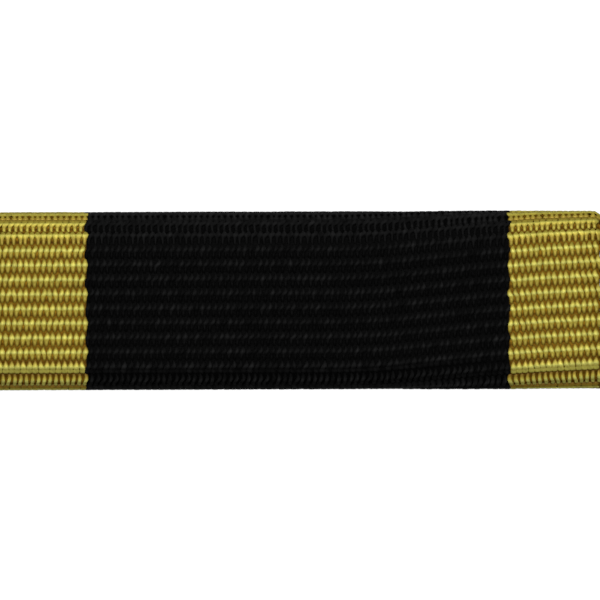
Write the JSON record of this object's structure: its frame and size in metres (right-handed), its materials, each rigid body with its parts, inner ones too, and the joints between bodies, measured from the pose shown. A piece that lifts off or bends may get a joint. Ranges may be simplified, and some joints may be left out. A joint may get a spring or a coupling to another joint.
{
  "type": "ribbon bar",
  "caption": "Single ribbon bar: ribbed gold, black and gold ribbon folded over a brass carrier, with a channel along its back that slides onto a mounting rail.",
  "frame": {"origin": "on the surface it lies on, below the middle of the bar", "axes": "+X along the bar to the wearer's left, +Y towards its upper edge as worn, +Z out of its front"},
  "size_m": [0.035, 0.0102, 0.0039],
  "materials": {
    "gold_ribbon": "warp-faced ribbed weave of shiny gold filament yarn, deep brown between the threads",
    "black_ribbon": "the same ribbed weave in black filament yarn, with a faint sheen on each thread",
    "carrier_brass": "rolled brass strip, lightly scratched and dulled"
  },
  "bodies": {
    "root": {"ribbon_gold_left": "gold_ribbon", "ribbon_black_middle": "black_ribbon", "ribbon_gold_right": "gold_ribbon", "carrier": "carrier_brass"}
  },
  "joints": []
}
